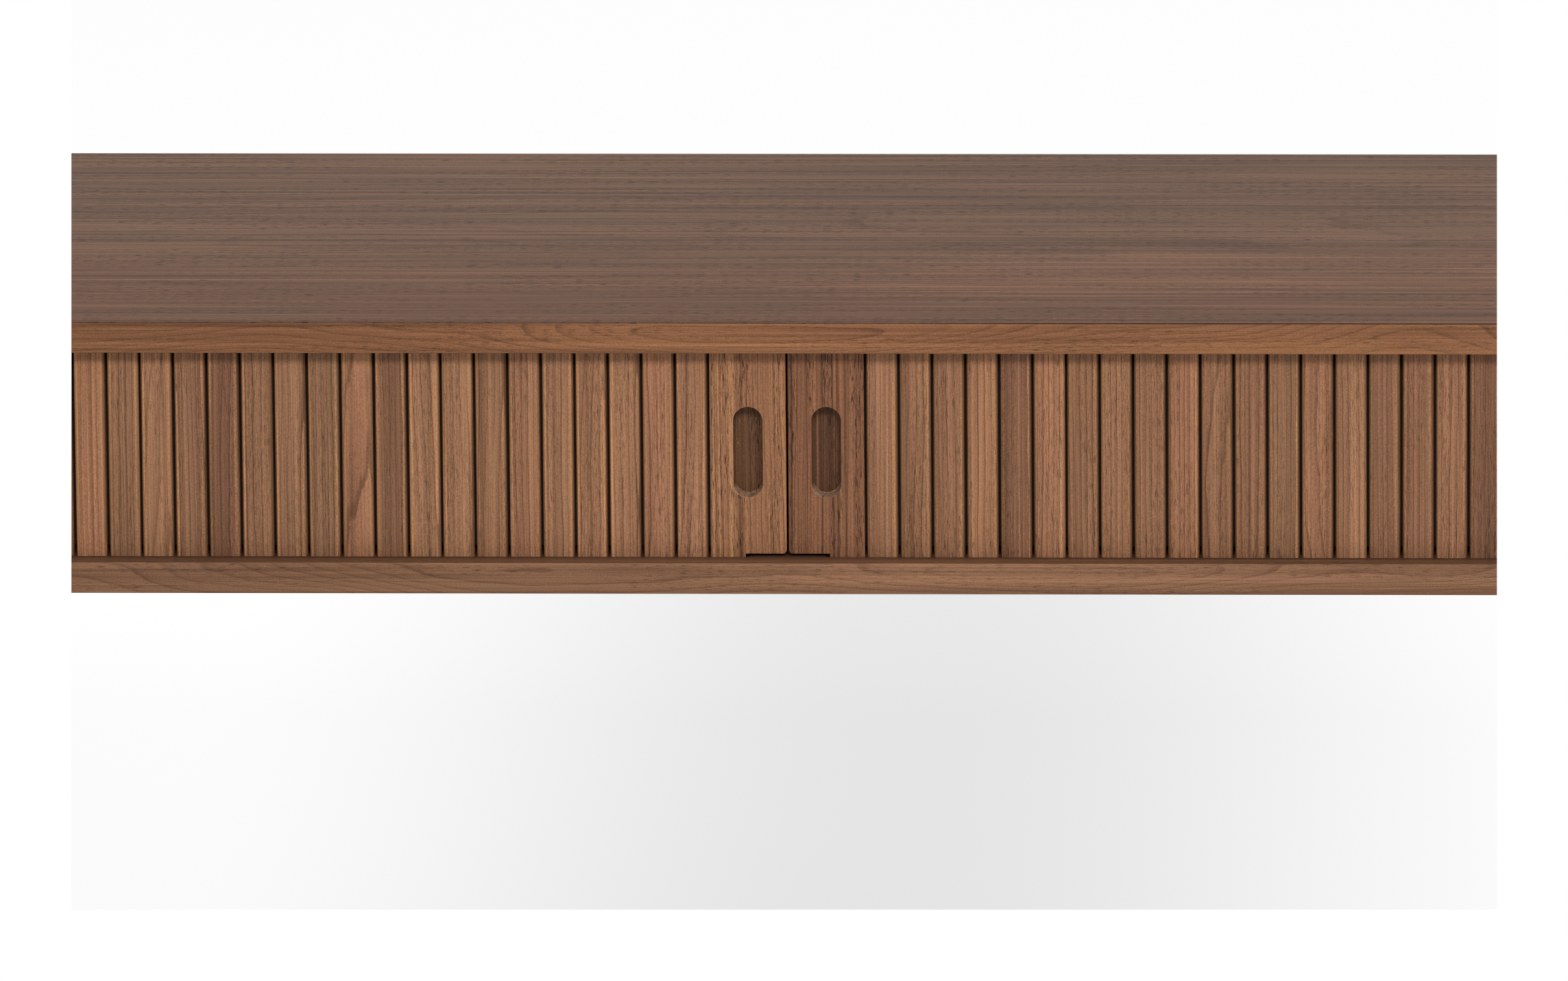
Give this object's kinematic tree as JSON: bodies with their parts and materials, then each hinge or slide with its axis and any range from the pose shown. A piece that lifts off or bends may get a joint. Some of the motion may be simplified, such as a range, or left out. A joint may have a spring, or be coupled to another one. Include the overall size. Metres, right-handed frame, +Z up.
{
  "type": "tambour desk",
  "caption": "Writing desk on four tapered legs, with a low box closed by two tambour doors of upright slats that slide apart from wide stiles with stadium finger pulls.",
  "frame": {"origin": "on the floor, under the middle of the desk", "axes": "X runs across the desk from left to right, the front faces -Y, Z is up"},
  "size_m": [1.4, 0.5, 0.76],
  "materials": {
    "veneer": "satin",
    "lipping": "satin",
    "board_core": "satin",
    "carcass": "satin",
    "inner_panel": "satin",
    "dowel": "raw",
    "slat": "satin",
    "stile": "satin",
    "strip": "satin",
    "leg": "satin",
    "canvas": "coarse cotton",
    "bolt": "zinc plated",
    "insert": "plain",
    "glide": "matte"
  },
  "bodies": {
    "frame": {"top_veneer": "veneer", "top_front_lipping": "lipping", "top_back_lipping": "lipping", "top_left_lipping": "lipping", "top_right_lipping": "lipping", "top_core": "board_core", "bottom_front_lipping": "lipping", "bottom_back_lipping": "lipping", "bottom_left_lipping": "lipping", "bottom_right_lipping": "lipping", "bottom_core": "board_core", "left_side_panel": "carcass", "right_side_panel": "carcass", "left_front_post": "carcass", "right_front_post": "carcass", "left_liner": "inner_panel", "right_liner": "inner_panel", "left_divider": "inner_panel", "right_divider": "inner_panel", "false_back": "inner_panel", "back_panel": "carcass", "side_dowels": "dowel", "left_slats": "slat", "right_slats": "slat", "left_corner_slats": "slat", "right_corner_slats": "slat", "left_canvas": "canvas", "right_canvas": "canvas", "left_corner_canvas": "canvas", "right_corner_canvas": "canvas", "front_left_leg": "leg", "front_right_leg": "leg", "back_left_leg": "leg", "back_right_leg": "leg", "left_leg_rail": "leg", "right_leg_rail": "leg", "rail_bolts": "bolt", "rail_inserts": "insert", "leg_glides": "glide"},
    "left_door": {"left_lead_stile": "stile", "left_canvas_strip": "strip"},
    "right_door": {"right_lead_stile": "stile", "right_canvas_strip": "strip"}
  },
  "joints": [
    {"name": "left_door_slide", "type": "slide", "parent": "frame", "child": "left_door", "axis": [-1, 0, 0], "range_m": [0, 0.55], "deforming": ["left_slats", "left_canvas"]},
    {"name": "right_door_slide", "type": "slide", "parent": "frame", "child": "right_door", "axis": [1, 0, 0], "range_m": [0, 0.55], "deforming": ["right_slats", "right_canvas"]}
  ]
}
